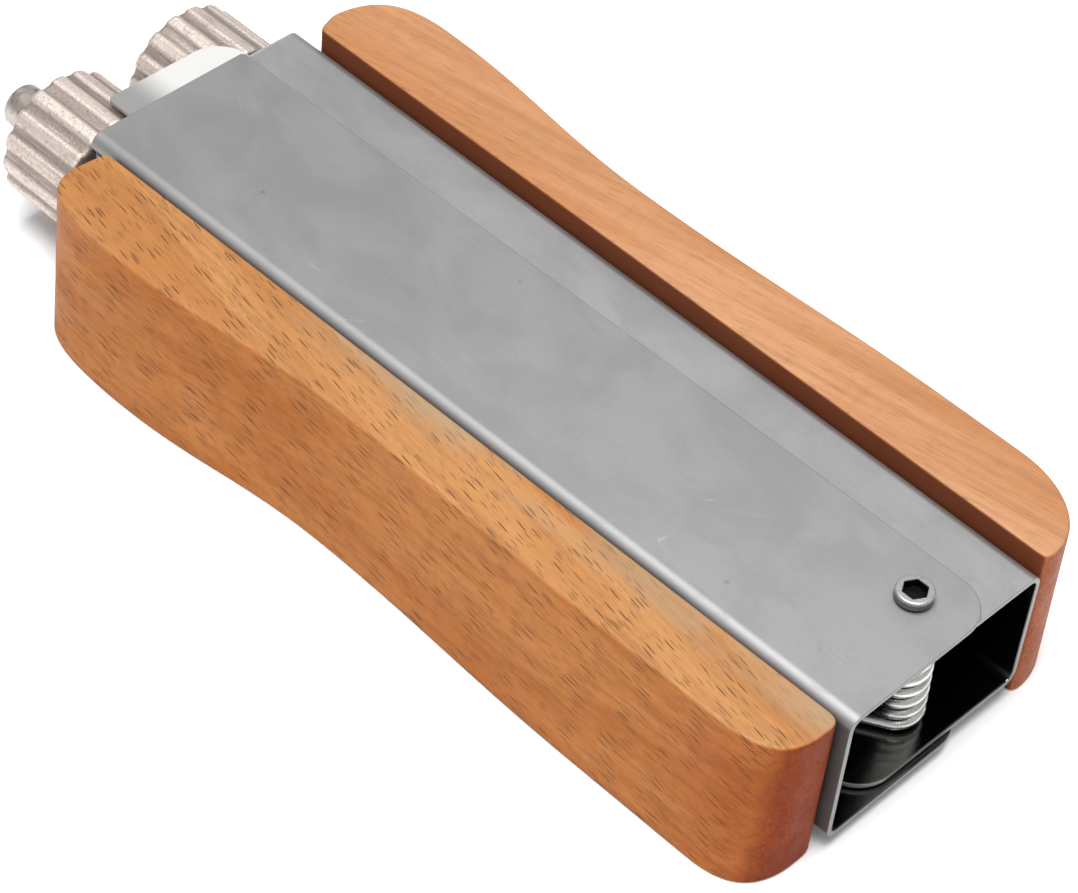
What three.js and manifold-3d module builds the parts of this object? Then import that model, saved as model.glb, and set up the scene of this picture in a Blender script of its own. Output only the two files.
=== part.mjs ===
// Hand-held wire crimper: two nested sheet-steel channels hinged at the rear by a screw, a wooden handle
// on the outside of each, a torsion spring that holds them apart, and a toothed wheel on the front of each.
// Millimetres. +X runs from the pivot to the wheels, +Y to the side of the outer channel, +Z up.
import * as THREE from "three";
import { mergeVertices } from "three/addons/utils/BufferGeometryUtils.js";
import Module from "manifold-3d";

const wasm = await Module();
wasm.setup();

// Driving dimensions.
const length = 141; // of the outer channel
const innerRear = 0.7; // x of the inner channel's rear end
const width = 38; // over the two side walls, at the rear
const height = 23.0; // of the outer channel
const sheet = 0.8; // thickness of the steel
const gap = 0.3; // clearance between pieces that touch on the real tool
const bend = 2.0; // outside radius of a fold
const openAngle = THREE.MathUtils.degToRad(0.5); // by which the inner channel stands open at rest

// Worked out from them. The outer channel's wall is at +wallY and the inner channel's at -wallY.
const wallY = width / 2;
const innerTop = height - sheet - gap;
const innerBottom = sheet + gap;
const hollowBottom = innerBottom + sheet;
const hollowTop = innerTop - sheet;

// The pivot screw's end is tip above the handles' undersides, inside its nut.
const pivot = {
  x: 8.3,
  y: -2.3,
  radius: 1.3,
  headRadius: 2.6,
  headHeight: 1.4,
  socket: 3.0,
  socketDepth: 1.15,
  nutRadius: 4.0,
  tip: 0.4,
};
const runningGap = 0.08;

const outerPlateEdge = -9.5; // y of the free edge of the outer channel's plates
const innerPlateEdge = 12.2; // y of the free edge of the inner channel's plates
const plateCorner = 6; // radius of the plates' free rear corners
const tongue = { reach: 5.6, farEdge: -9.4, corner: 5.5 };

const axleZ = 10.45;
const axle = {
  radius: 2.0,
  bushRadius: 3.0,
  washerRadius: 4.2,
  washer: 0.8,
  nut: 3.2,
  nutFlat: 7.0,
  headRadius: 3.4,
  socket: 3.0,
  tail: 1.2, // thread behind the nut
};
const leftAxle = { y: wallY - 6.3, head: 7.0 };
const rightAxle = { y: -wallY + 9.6, head: 1.4 };
const flangeWidth = 14;

const wheel = { radius: 10.45, depth: 0.5, teeth: 16, width: 13.6, rim: 0.5 };
const crestSharpness = 2.2; // above 0: the larger, the squarer the teeth
const crestShare = 0.15; // above 0: crests wider than grooves
const wheelRear = length + gap + axle.washer + gap;
const wheelFront = wheelRear + wheel.width;

const handleBottom = -2.2;
const leftHandleTop = height - 0.1;
const rightHandleTop = innerTop + 2.4;
const handleEdge = 0.5; // softening of the handles' long edges
const screwX = [26, 116]; // positions of the wood screws along each handle
const woodScrew = { radius: 1.5, length: 8.4, headRadius: 3.0, headHeight: 1.6, slotDepth: 0.8 };

// The coil hangs loose on its screw: low and high are how far behind it the coil's two ends stand.
const spring = { wire: 0.8, radius: 3.3, turns: 8, reach: 32, low: 0.85, high: 0.2 };

const ROUND = 40; // sides of a round piece

const steel = { color: 0xa6a6a4, roughness: 0.42, metalness: 0.9 };
const wheelSteel = { color: 0xc9bfb4, roughness: 0.6, metalness: 0.8 };
const screwSteel = { color: 0x8b857c, roughness: 0.45, metalness: 0.9 };
const springSteel = { color: 0xc8c8c6, roughness: 0.3, metalness: 1.0 };
const blackSteel = { color: 0x55534f, roughness: 0.45, metalness: 0.9 };
const beech = { color: 0xd9985c, roughness: 0.6, metalness: 0.0 };

// ---- solids ----

// A three.js geometry as a manifold solid.
function solid(geometry) {
  const bare = geometry.clone();
  bare.deleteAttribute("normal");
  bare.deleteAttribute("uv");
  const merged = mergeVertices(bare, 1e-4);
  return new wasm.Manifold(
    new wasm.Mesh({
      numProp: 3,
      vertProperties: new Float32Array(merged.attributes.position.array),
      triVerts: new Uint32Array(merged.index.array),
    }),
  );
}

// A manifold solid as a three.js geometry.
function geometryOf(body) {
  const mesh = body.getMesh();
  const geometry = new THREE.BufferGeometry();
  geometry.setAttribute("position", new THREE.BufferAttribute(new Float32Array(mesh.vertProperties), 3));
  geometry.setIndex(new THREE.BufferAttribute(new Uint32Array(mesh.triVerts), 1));
  const flat = geometry.toNonIndexed();
  flat.computeVertexNormals();
  return flat;
}

function box(x0, x1, y0, y1, z0, z1) {
  const geometry = new THREE.BoxGeometry(x1 - x0, y1 - y0, z1 - z0);
  geometry.translate((x0 + x1) / 2, (y0 + y1) / 2, (z0 + z1) / 2);
  return solid(geometry);
}

// A body of revolution about a line along "x", "y" or "z", from [radius, distance] pairs.
function turned(profile, direction, sides = ROUND) {
  const points = profile.map(([radius, along]) => new THREE.Vector2(radius, along));
  const geometry = new THREE.LatheGeometry(points, sides);
  if (direction === "x") geometry.rotateZ(-Math.PI / 2);
  if (direction === "z") geometry.rotateX(Math.PI / 2);
  return geometry;
}

function rod(radius, from, to, direction, sides = ROUND) {
  return turned([[0, from], [radius, from], [radius, to], [0, to]], direction, sides);
}

function ring(inner, outer, from, to, direction) {
  const profile = [[inner, from], [outer, from], [outer, to], [inner, to], [inner, from]];
  return turned(profile, direction);
}

// A six-sided prism, flat to flat, along a direction.
function hexagon(flats, from, to, direction) {
  return rod(flats / Math.sqrt(3), from, to, direction, 6);
}

function moved(geometry, x, y, z) {
  return solid(geometry.translate(x, y, z));
}

// ---- channels ----

// A U of folded sheet that lies on its side: the wall at y = wallY, the plates reaching to y = edge, and
// its rear end at x = rear.
function foldedChannel(edge, bottom, top, rear) {
  const inner = bend - sheet;
  const shape = new THREE.Shape();
  shape.moveTo(edge, bottom);
  shape.lineTo(wallY - bend, bottom);
  shape.absarc(wallY - bend, bottom + bend, bend, -Math.PI / 2, 0, false);
  shape.lineTo(wallY, top - bend);
  shape.absarc(wallY - bend, top - bend, bend, 0, Math.PI / 2, false);
  shape.lineTo(edge, top);
  shape.lineTo(edge, top - sheet);
  shape.lineTo(wallY - bend, top - sheet);
  shape.absarc(wallY - bend, top - bend, inner, Math.PI / 2, 0, true);
  shape.lineTo(wallY - sheet, bottom + bend);
  shape.absarc(wallY - bend, bottom + bend, inner, 0, -Math.PI / 2, true);
  shape.lineTo(edge, bottom + sheet);
  shape.closePath();
  const depth = length - rear;
  const geometry = new THREE.ExtrudeGeometry(shape, { depth, bevelEnabled: false, curveSegments: 6 });
  // The outline's own x and y become y and z, and the extrusion runs along x.
  geometry.applyMatrix4(new THREE.Matrix4().set(0, 0, 1, rear, 1, 0, 0, 0, 0, 1, 0, 0, 0, 0, 0, 1));
  return solid(geometry);
}

// What is cut away to round a plate's free rear corner.
function cornerCutter(edge, rear) {
  const inner = rear + plateCorner;
  const block = box(rear - 1, inner, edge - 1, edge + plateCorner, -1, height + 1);
  const keep = rod(plateCorner, -2, height + 2, "z", 64);
  return block.subtract(moved(keep, inner, edge + plateCorner, 0));
}

// The front ear that carries the wheel, folded in from the wall at y = wallY.
function frontFlange(axleY) {
  const ear = box(
    length - sheet,
    length,
    wallY - flangeWidth,
    wallY - sheet / 2,
    hollowBottom + gap,
    hollowTop - gap,
  );
  return ear.subtract(moved(rod(axle.radius + runningGap, length - 5, length + 5, "x"), 0, axleY, axleZ));
}

function drilledChannel({ edge, bottom, top, rear, axleY, pivotY }) {
  let body = foldedChannel(edge, bottom, top, rear);
  body = body.subtract(cornerCutter(edge, rear)).add(frontFlange(axleY));
  body = body.subtract(moved(rod(pivot.radius + runningGap, -1, height + 1, "z"), pivot.x, pivotY, 0));
  for (const x of screwX) {
    const hole = rod(woodScrew.radius + runningGap, wallY - 3, wallY + 3, "y");
    body = body.subtract(moved(hole, x, 0, height / 2));
  }
  return body;
}

function outerChannel() {
  const plan = { edge: outerPlateEdge, bottom: 0, top: height, rear: 0, axleY: leftAxle.y, pivotY: pivot.y };
  return geometryOf(drilledChannel(plan));
}

// The inner channel's front tongue, over the gap between the wheels.
function tonguePlate() {
  const tip = length + tongue.reach;
  const shape = new THREE.Shape();
  shape.moveTo(length - 2, tongue.farEdge);
  shape.lineTo(tip - tongue.corner, tongue.farEdge);
  shape.absarc(tip - tongue.corner, tongue.farEdge + tongue.corner, tongue.corner, -Math.PI / 2, 0, false);
  shape.lineTo(tip, innerPlateEdge);
  shape.lineTo(length - 2, innerPlateEdge);
  shape.closePath();
  const plate = new THREE.ExtrudeGeometry(shape, { depth: sheet, bevelEnabled: false, curveSegments: 10 });
  return moved(plate, 0, 0, innerTop - sheet);
}

// Made as a channel whose wall is at +wallY, then turned over so the wall is at -wallY.
function innerChannel() {
  const raw = drilledChannel({
    edge: -innerPlateEdge,
    bottom: innerBottom,
    top: innerTop,
    rear: innerRear,
    axleY: -rightAxle.y,
    pivotY: -pivot.y,
  });
  const turnedOver = raw.mirror([0, 1, 0]);
  return geometryOf(turnedOver.add(tonguePlate()));
}

// ---- handles ----

// Plan outline of a handle: along is measured from its rear end, out from its flat inner face.
function handleOutline({ span, rear, waist, front, rearInner, frontInner }) {
  const shape = new THREE.Shape();
  const ease = 0.42;
  const rearRun = waist.at - rear.to;
  const frontRun = front.at - waist.at;
  const frontBrow = THREE.MathUtils.lerp(front.nose, front.out, 0.72);
  const rearBrow = THREE.MathUtils.lerp(rear.nose, rear.out, 0.64);
  shape.moveTo(rearInner, 0);
  shape.lineTo(span - frontInner, 0);
  shape.lineTo(span, front.nose);
  shape.bezierCurveTo(span - 0.6, frontBrow, span - 4.5, front.out - 0.1, front.at, front.out);
  shape.bezierCurveTo(
    front.at - ease * frontRun,
    front.out,
    waist.at + ease * frontRun,
    waist.out,
    waist.at,
    waist.out,
  );
  shape.bezierCurveTo(
    waist.at - ease * rearRun,
    waist.out,
    rear.to + ease * rearRun,
    rear.out,
    rear.to,
    rear.out,
  );
  shape.lineTo(rear.from, rear.out);
  shape.bezierCurveTo(rear.from - 6.5, rear.out - 0.1, 0.6, rearBrow, 0, rear.nose);
  shape.lineTo(0, rearInner);
  return shape;
}

// flare is the share by which a handle is thicker at its underside than at its top.
const leftHandlePlan = {
  start: 1.25,
  span: 136.45,
  flare: { rear: 0.2, front: 0.12 },
  rear: { from: 9.5, to: 30, out: 11.2, nose: 4.6 },
  waist: { at: 78, out: 10.0 },
  front: { at: 118, out: 13.0, nose: 6.0 },
  rearInner: 0.9,
  frontInner: 0.6,
};
const rightHandlePlan = {
  start: 0.65,
  span: 137.5,
  flare: { rear: 0.12, front: 0.12 },
  rear: { from: 14, to: 26, out: 12.4, nose: 2.0 },
  waist: { at: 80, out: 10.7 },
  front: { at: 125, out: 14.1, nose: 3.6 },
  rearInner: 0.4,
  frontInner: 1.2,
};

// Thickens a handle evenly from its top to its underside, its inner face staying flat.
function thicken(geometry, flare, top) {
  const position = geometry.attributes.position;
  const inner = wallY + gap;
  for (let i = 0; i < position.count; i++) {
    const depth = (top - position.getZ(i)) / (top - handleBottom);
    const share = THREE.MathUtils.lerp(flare.rear, flare.front, position.getX(i) / length);
    position.setY(i, inner + (position.getY(i) - inner) * (1 + share * depth));
  }
}

// Drilled for its two wood screws. Made for the +Y side.
function handle(plan, top) {
  const depth = top - handleBottom - 2 * handleEdge;
  const blank = new THREE.ExtrudeGeometry(handleOutline(plan), {
    depth,
    curveSegments: 14,
    bevelThickness: handleEdge,
    bevelSize: handleEdge,
    bevelOffset: -handleEdge,
    bevelSegments: 2,
  });
  blank.translate(plan.start, wallY + gap, handleBottom + handleEdge);
  thicken(blank, plan.flare, top);
  let body = solid(blank);
  for (const x of screwX) {
    const pilot = rod(woodScrew.radius + runningGap, wallY - 1, wallY + woodScrew.length - 0.6, "y");
    body = body.subtract(moved(pilot, x, 0, height / 2));
  }
  return geometryOf(body);
}

// The same solid on the -Y side.
function mirrored(geometry) {
  return geometryOf(solid(geometry).mirror([0, 1, 0]));
}

// ---- fasteners ----

// Round-headed screw whose head is inside the channel and whose point is in the wood, towards +Y.
function handleScrew() {
  const seat = wallY - sheet - gap;
  const back = seat - woodScrew.headHeight;
  const tip = wallY + woodScrew.length - 1.2;
  const body = solid(
    turned(
      [
        [0, back],
        [woodScrew.headRadius * 0.6, back],
        [woodScrew.headRadius, back + 1.0],
        [woodScrew.headRadius, seat],
        [woodScrew.radius, seat],
        [woodScrew.radius, tip - 2.5],
        [0, tip],
      ],
      "y",
    ),
  );
  const slot = (x, z) => box(-x, x, back - 1, back + woodScrew.slotDepth, -z, z);
  return geometryOf(body.subtract(slot(1.3, 0.3)).subtract(slot(0.3, 1.3)));
}

function pivotScrew() {
  const seat = height + gap;
  const top = seat + pivot.headHeight;
  const tip = handleBottom + pivot.tip;
  const soften = 0.3;
  const shank = pivot.radius;
  const body = solid(
    turned(
      [
        [0, tip],
        [shank - soften, tip],
        [shank, tip + soften],
        [shank, seat],
        [pivot.headRadius, seat],
        [pivot.headRadius, top - soften],
        [pivot.headRadius - soften, top],
        [0, top],
      ],
      "z",
    ),
  );
  return geometryOf(body.subtract(solid(hexagon(pivot.socket, top - pivot.socketDepth, top + 1, "z"))));
}

function pivotNut() {
  const under = handleBottom + pivot.tip + 0.2;
  return ring(pivot.radius + runningGap, pivot.nutRadius, under, -gap, "z");
}

// Wheel screw: its head in front of the wheel, its thread in the nut behind the flange.
function axleScrew(headHeight) {
  const seat = wheelFront + gap + axle.washer + gap;
  const top = seat + headHeight;
  const soften = Math.min(0.8, headHeight / 2);
  const end = length - sheet - gap - axle.nut - axle.tail;
  const body = solid(
    turned(
      [
        [0, end],
        [axle.radius - 0.4, end],
        [axle.radius, end + 0.4],
        [axle.radius, seat],
        [axle.headRadius, seat],
        [axle.headRadius, top - soften],
        [axle.headRadius - soften, top],
        [0, top],
      ],
      "x",
    ),
  );
  const socketDepth = Math.min(2.5, headHeight * 0.7);
  return geometryOf(body.subtract(solid(hexagon(axle.socket, top - socketDepth, top + 1, "x"))));
}

function axleNut() {
  const front = length - sheet - gap;
  const body = solid(hexagon(axle.nutFlat, front - axle.nut, front, "x"));
  return geometryOf(body.subtract(solid(rod(axle.radius + runningGap, front - 9, front + 9, "x"))));
}

function axleBush() {
  return ring(axle.radius + runningGap, axle.bushRadius, wheelRear, wheelFront, "x");
}

function axleWasher(rear) {
  return ring(axle.radius + runningGap, axle.washerRadius, rear, rear + axle.washer, "x");
}

// ---- wheels ----

// Toothed outline. phase 0 puts a tooth on +X of the outline, 0.5 puts a groove there.
function toothedShape(phase) {
  const shape = new THREE.Shape();
  const steps = wheel.teeth * 10;
  const mean = wheel.radius - wheel.depth / 2;
  for (let i = 0; i < steps; i++) {
    const angle = (i / steps) * 2 * Math.PI;
    const swing = Math.cos(wheel.teeth * angle - phase * 2 * Math.PI) + crestShare;
    const wave = Math.tanh(crestSharpness * swing);
    const radius = mean + ((wheel.depth / 2) * wave) / Math.tanh(crestSharpness);
    const x = radius * Math.cos(angle);
    const y = radius * Math.sin(angle);
    if (i === 0) shape.moveTo(x, y);
    else shape.lineTo(x, y);
  }
  shape.closePath();
  return shape;
}

// Axis along X, centred on the origin's axis, with a bevelled rim at each end.
function toothedWheel(phase) {
  const blank = new THREE.ExtrudeGeometry(toothedShape(phase), {
    depth: wheel.width,
    bevelEnabled: false,
  });
  blank.applyMatrix4(new THREE.Matrix4().set(0, 0, 1, 0, 1, 0, 0, 0, 0, 1, 0, 0, 0, 0, 0, 1));
  const slope = wheel.radius + 0.1;
  const edge = slope - wheel.rim;
  const envelope = turned(
    [
      [0, 0],
      [edge, 0],
      [slope, wheel.rim],
      [slope, wheel.width - wheel.rim],
      [edge, wheel.width],
      [0, wheel.width],
    ],
    "x",
    72,
  );
  const bore = rod(axle.bushRadius + runningGap, -1, wheel.width + 1, "x");
  const body = solid(blank).intersect(solid(envelope)).subtract(solid(bore));
  return geometryOf(body);
}

// ---- torsion spring ----

// Wire's centre line: from the tip of the lower leg, by the outer channel's wall, up the coil about the
// pivot, to the tip of the upper leg, by the inner channel's wall.
class SpringWire extends THREE.Curve {
  constructor() {
    super();
    this.arcLengthDivisions = 4000;
    const clear = wallY - sheet - gap - spring.wire;
    this.lowerLean = this.leanTo(clear - pivot.y);
    this.upperLean = this.leanTo(clear + pivot.y);
    this.low = hollowBottom + gap + spring.wire;
    this.rise = hollowTop - gap - spring.wire - this.low;
    this.from = Math.PI / 2 + this.lowerLean;
    this.sweep = 2 * Math.PI * spring.turns + Math.PI - this.lowerLean - this.upperLean;
  }

  // Angle at which a leg of the stated reach leaves the coil to end a distance out from the pivot's middle.
  leanTo(out) {
    const arm = Math.hypot(spring.radius, spring.reach);
    return Math.asin(out / arm) - Math.atan2(spring.radius, spring.reach);
  }

  getPoint(t, target = new THREE.Vector3()) {
    const leg = 0.12; // share of t given to each leg
    const along = THREE.MathUtils.clamp((t - leg) / (1 - 2 * leg), 0, 1);
    const angle = this.from + this.sweep * along;
    const z = this.low + this.rise * along;
    const middle = pivot.x - THREE.MathUtils.lerp(spring.low, spring.high, along);
    target.set(middle + spring.radius * Math.cos(angle), pivot.y + spring.radius * Math.sin(angle), z);
    const direction = new THREE.Vector3(-Math.sin(angle), Math.cos(angle), 0);
    if (t < leg) target.addScaledVector(direction, (-spring.reach * (leg - t)) / leg);
    if (t > 1 - leg) target.addScaledVector(direction, (spring.reach * (t - 1 + leg)) / leg);
    return target;
  }
}

function torsionSpring() {
  const section = new THREE.Shape();
  section.absarc(0, 0, spring.wire, 0, 2 * Math.PI, false);
  return new THREE.ExtrudeGeometry(section, { extrudePath: new SpringWire(), steps: 200, curveSegments: 4 });
}

// ---- assembly ----

function piece(name, geometry, finish) {
  const mesh = new THREE.Mesh(geometry, new THREE.MeshStandardMaterial(finish));
  mesh.name = name;
  return mesh;
}

function addHandleScrews(jaw, side) {
  const names = ["rear", "front"];
  screwX.forEach((x, i) => {
    const screw = piece(`${side}_handle_screw_${names[i]}`, handleScrew(), screwSteel);
    screw.position.set(x, 0, height / 2);
    if (side === "right") screw.rotation.z = Math.PI;
    jaw.add(screw);
  });
}

// The fixed fittings of one wheel, on the line y = spec.y, z = axleZ.
function addAxle(jaw, side, spec) {
  const line = new THREE.Group();
  line.position.set(0, spec.y, axleZ);
  line.add(piece(`${side}_axle_screw`, axleScrew(spec.head), blackSteel));
  line.add(piece(`${side}_axle_nut`, axleNut(), screwSteel));
  line.add(piece(`${side}_axle_bush`, axleBush(), springSteel));
  line.add(piece(`${side}_rear_washer`, axleWasher(length + gap), springSteel));
  line.add(piece(`${side}_front_washer`, axleWasher(wheelFront + gap), springSteel));
  jaw.add(line);
}

function addWheel(jaw, side, spec, phase) {
  const body = piece(`${side}_wheel`, toothedWheel(phase), wheelSteel);
  body.position.set(wheelRear, spec.y, axleZ);
  jaw.add(body);
}

function leftJaw() {
  const jaw = new THREE.Group();
  jaw.add(piece("outer_channel", outerChannel(), steel));
  jaw.add(piece("left_handle", handle(leftHandlePlan, leftHandleTop), beech));
  const pin = new THREE.Group();
  pin.position.set(pivot.x, pivot.y, 0);
  pin.add(piece("pivot_screw", pivotScrew(), screwSteel));
  pin.add(piece("pivot_nut", pivotNut(), screwSteel));
  jaw.add(pin);
  jaw.add(piece("torsion_spring", torsionSpring(), springSteel));
  addHandleScrews(jaw, "left");
  addAxle(jaw, "left", leftAxle);
  addWheel(jaw, "left", leftAxle, 0);
  return jaw;
}

function rightJaw() {
  const jaw = new THREE.Group();
  jaw.add(piece("inner_channel", innerChannel(), steel));
  const grip = piece("right_handle", mirrored(handle(rightHandlePlan, rightHandleTop)), beech);
  jaw.add(grip);
  addHandleScrews(jaw, "right");
  addAxle(jaw, "right", rightAxle);
  addWheel(jaw, "right", rightAxle, 0.5);
  jaw.position.set(-pivot.x, -pivot.y, 0);
  const swung = new THREE.Group();
  swung.add(jaw);
  swung.position.set(pivot.x, pivot.y, 0);
  swung.rotation.z = -openAngle;
  return swung;
}

const tool = new THREE.Group();
tool.add(leftJaw(), rightJaw());

// The origin is under the middle of the whole tool, at the level of the lowest point.
const bounds = new THREE.Box3().setFromObject(tool, true);
const middle = bounds.getCenter(new THREE.Vector3());
tool.position.set(-middle.x, -middle.y, -bounds.min.z);

const root = new THREE.Group();
root.add(tool);

export default root;
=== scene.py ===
import math
import random

import bmesh
import bpy
from mathutils import Matrix, Vector
from mathutils.geometry import delaunay_2d_cdt


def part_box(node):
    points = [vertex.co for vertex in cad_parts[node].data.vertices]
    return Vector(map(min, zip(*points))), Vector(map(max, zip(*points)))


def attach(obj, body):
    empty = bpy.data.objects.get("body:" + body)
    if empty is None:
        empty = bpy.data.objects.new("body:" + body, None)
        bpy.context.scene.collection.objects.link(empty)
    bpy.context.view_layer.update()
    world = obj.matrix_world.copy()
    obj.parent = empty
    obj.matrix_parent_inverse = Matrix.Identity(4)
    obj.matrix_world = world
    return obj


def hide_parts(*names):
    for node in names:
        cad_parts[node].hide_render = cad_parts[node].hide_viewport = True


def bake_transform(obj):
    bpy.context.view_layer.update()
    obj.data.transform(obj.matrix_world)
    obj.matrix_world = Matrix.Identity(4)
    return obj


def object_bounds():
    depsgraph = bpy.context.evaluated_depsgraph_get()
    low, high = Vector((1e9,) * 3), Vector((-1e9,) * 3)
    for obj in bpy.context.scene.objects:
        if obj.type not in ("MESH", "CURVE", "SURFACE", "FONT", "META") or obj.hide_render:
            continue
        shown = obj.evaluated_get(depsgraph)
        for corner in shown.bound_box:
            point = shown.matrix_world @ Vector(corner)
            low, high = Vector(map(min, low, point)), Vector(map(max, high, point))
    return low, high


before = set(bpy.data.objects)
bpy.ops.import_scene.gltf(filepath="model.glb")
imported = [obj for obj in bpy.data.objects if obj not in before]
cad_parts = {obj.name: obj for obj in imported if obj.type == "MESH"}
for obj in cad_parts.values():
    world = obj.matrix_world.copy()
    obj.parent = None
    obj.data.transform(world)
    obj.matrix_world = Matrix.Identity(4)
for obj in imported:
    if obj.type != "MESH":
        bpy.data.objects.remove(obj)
cad_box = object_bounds()

MM = 0.001
random.seed(7)

# ---- dimensions repeated from the CAD part, in its own millimetres ----

LENGTH = 141.0
INNER_REAR = 0.7
WIDTH = 38.0
HEIGHT = 23.0
SHEET = 0.8
GAP = 0.3
BEND = 2.0
OPEN_ANGLE = math.radians(0.5)
WALL = WIDTH / 2
INNER_TOP = HEIGHT - SHEET - GAP
INNER_BOTTOM = SHEET + GAP
HOLLOW_BOTTOM = INNER_BOTTOM + SHEET
HOLLOW_TOP = INNER_TOP - SHEET
RUNNING_GAP = 0.08

PIVOT_X = 8.3
PIVOT_Y = -2.3
PIVOT_RADIUS = 1.3
PIVOT_HEAD_RADIUS = 2.6
PIVOT_HEAD_HEIGHT = 1.4
PIVOT_SOCKET = 3.0
PIVOT_SOCKET_DEPTH = 1.15
PIVOT_TIP = 0.4  # above the handles' undersides
PIVOT_NUT_RADIUS = 4.0
PIVOT_NUT_BASE = 0.6  # above them too

OUTER_PLATE_EDGE = -9.5
INNER_PLATE_EDGE = 12.2
PLATE_CORNER = 6.0
TONGUE_REACH = 5.6
TONGUE_EDGE = -9.4
TONGUE_CORNER = 5.5
FLANGE_WIDTH = 14.0

AXLE_Z = 10.45
AXLE_RADIUS = 2.0
AXLE_BORE = AXLE_RADIUS + RUNNING_GAP
BUSH_RADIUS = 3.0
WASHER_RADIUS = 4.2
WASHER = 0.8
NUT = 3.2
NUT_FLATS = 7.0
AXLE_TAIL = 1.2  # thread behind the nut
AXLE_SOCKET = 3.0
AXLE_SOCKET_DEPTH = 2.5
LEFT_AXLE_Y = WALL - 6.3
RIGHT_AXLE_Y = -WALL + 9.6
AXLE_HEAD_RADIUS = 3.4
LEFT_HEAD = 7.0
RIGHT_HEAD = 1.4

WHEEL_RADIUS = 10.45
TOOTH_DEPTH = 0.5
TEETH = 16
CREST_SHARPNESS = 2.2
CREST_SHARE = 0.15
WHEEL_WIDTH = 13.6
WHEEL_FACE_RADIUS = 8.4
WHEEL_REAR = LENGTH + GAP + WASHER + GAP
WHEEL_FRONT = WHEEL_REAR + WHEEL_WIDTH

HANDLE_BOTTOM = -2.2
LEFT_HANDLE_TOP = HEIGHT - 0.1
RIGHT_HANDLE_TOP = INNER_TOP + 2.4
SCREW_X = {"rear": 26.0, "front": 116.0}
WOOD_SCREW_RADIUS = 1.5
WOOD_SCREW_LENGTH = 8.4
WOOD_HEAD_RADIUS = 3.0
WOOD_HEAD_HEIGHT = 1.6
WOOD_POINT_CUT = 1.2  # what the point lacks of that length

WIRE = 0.8  # radius
COIL_RADIUS = 3.3
COIL_TURNS = 8
COIL_LOW = 0.85  # how far behind the screw's line the coil starts
COIL_HIGH = 0.2  # and ends
LEG_REACH = 32.0

# The CAD's own origin: the outer channel starts at x = 0, its wall is at y = WALL and it stands on z = 0.
low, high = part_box("outer_channel")
ORIGIN = Vector((low.x / MM, high.y / MM - WALL, low.z / MM))
PIVOT = Vector((PIVOT_X, PIVOT_Y, 0.0))
LEFT = Matrix.Identity(4)
RIGHT = Matrix.Translation(PIVOT) @ Matrix.Rotation(-OPEN_ANGLE, 4, "Z") @ Matrix.Translation(-PIVOT)
MIRROR = Matrix.Diagonal((1.0, -1.0, 1.0, 1.0))


# ---- mesh tools ----

def row_frame(point, jaw=LEFT):
    """A point in one jaw's CAD millimetres, in the row frame's metres."""
    return (jaw @ Vector(point) + ORIGIN) * MM


def frame_x(*distances):
    """CAD distances along the tool, as the row frame's X."""
    return [row_frame((distance, 0, 0)).x for distance in distances]


def frame_y(*distances):
    """CAD distances across the tool, as the row frame's Y."""
    return [row_frame((0, distance, 0)).y for distance in distances]


def new_piece(name, shape, jaw, body, sharp=35.0):
    """A closed mesh, from points and faces, that stands for the CAD node of its name and rides on body."""
    points, faces = shape
    mesh = bpy.data.meshes.new(name)
    mesh.from_pydata([row_frame(p, jaw) for p in points], [], faces)
    build = bmesh.new()
    build.from_mesh(mesh)
    bmesh.ops.recalc_face_normals(build, faces=build.faces)
    build.to_mesh(mesh)
    build.free()
    mesh.shade_smooth()
    mesh.set_sharp_from_angle(angle=math.radians(sharp))
    piece = bpy.data.objects.new(name + "_look", mesh)
    bpy.context.scene.collection.objects.link(piece)
    normals = piece.modifiers.new("even_normals", "WEIGHTED_NORMAL")
    normals.keep_sharp = True
    normals.weight = 95
    if body:
        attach(piece, body)
    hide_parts(name)
    return piece


def stack(loops, closed=False):
    """Quads between loops of equally many points. The two end loops are capped, or joined if closed."""
    count = len(loops[0])
    points = [p for loop in loops for p in loop]
    faces = []
    for i in range(len(loops) if closed else len(loops) - 1):
        a = i * count
        b = (i + 1) % len(loops) * count
        for k in range(count):
            n = (k + 1) % count
            faces.append((a + k, a + n, b + n, b + k))
    if not closed:
        faces.append(tuple(reversed(range(count))))
        faces.append(tuple(range(len(points) - count, len(points))))
    return points, faces


def turned(axis, centre, sections, closed=False):
    """Stacked loops about a line through centre along "x", "y" or "z", from (distance, polar radii) pairs."""
    loops = []
    for distance, radii in sections:
        loop = []
        for k, radius in enumerate(radii):
            angle = 2 * math.pi * k / len(radii)
            u = radius * math.cos(angle)
            v = radius * math.sin(angle)
            local = {"x": (distance, u, v), "y": (v, distance, u), "z": (u, v, distance)}[axis]
            loop.append(Vector(centre) + Vector(local))
        loops.append(loop)
    return stack(loops, closed)


def circle(radius, count):
    return [radius] * count


def hexagon(flats, count):
    """Polar radii of a hexagon, measured flat to flat."""
    sector = math.pi / 3
    angles = [2 * math.pi * k / count % sector - sector / 2 for k in range(count)]
    return [flats / 2 / math.cos(angle) for angle in angles]


def cross(reach, width, count):
    """Polar radii of a cross-shaped recess."""
    sector = math.pi / 2
    angles = [(2 * math.pi * k / count + sector / 2) % sector - sector / 2 for k in range(count)]
    return [min(reach, width / 2 / max(abs(math.sin(angle)), 0.01)) for angle in angles]


def smaller(first, second):
    return [min(a, b) for a, b in zip(first, second)]


def shoulder(radius, side, face, size, count, steps=4):
    """Sections round the outer edge of a turned piece, up to its end face. side is a distance within it."""
    sections = []
    toward = 1 if face > side else -1
    for i in range(steps + 1):
        angle = math.pi / 2 * i / steps
        distance = face - toward * size * (1 - math.sin(angle))
        sections.append((distance, circle(radius - size * (1 - math.cos(angle)), count)))
    return sections


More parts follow.
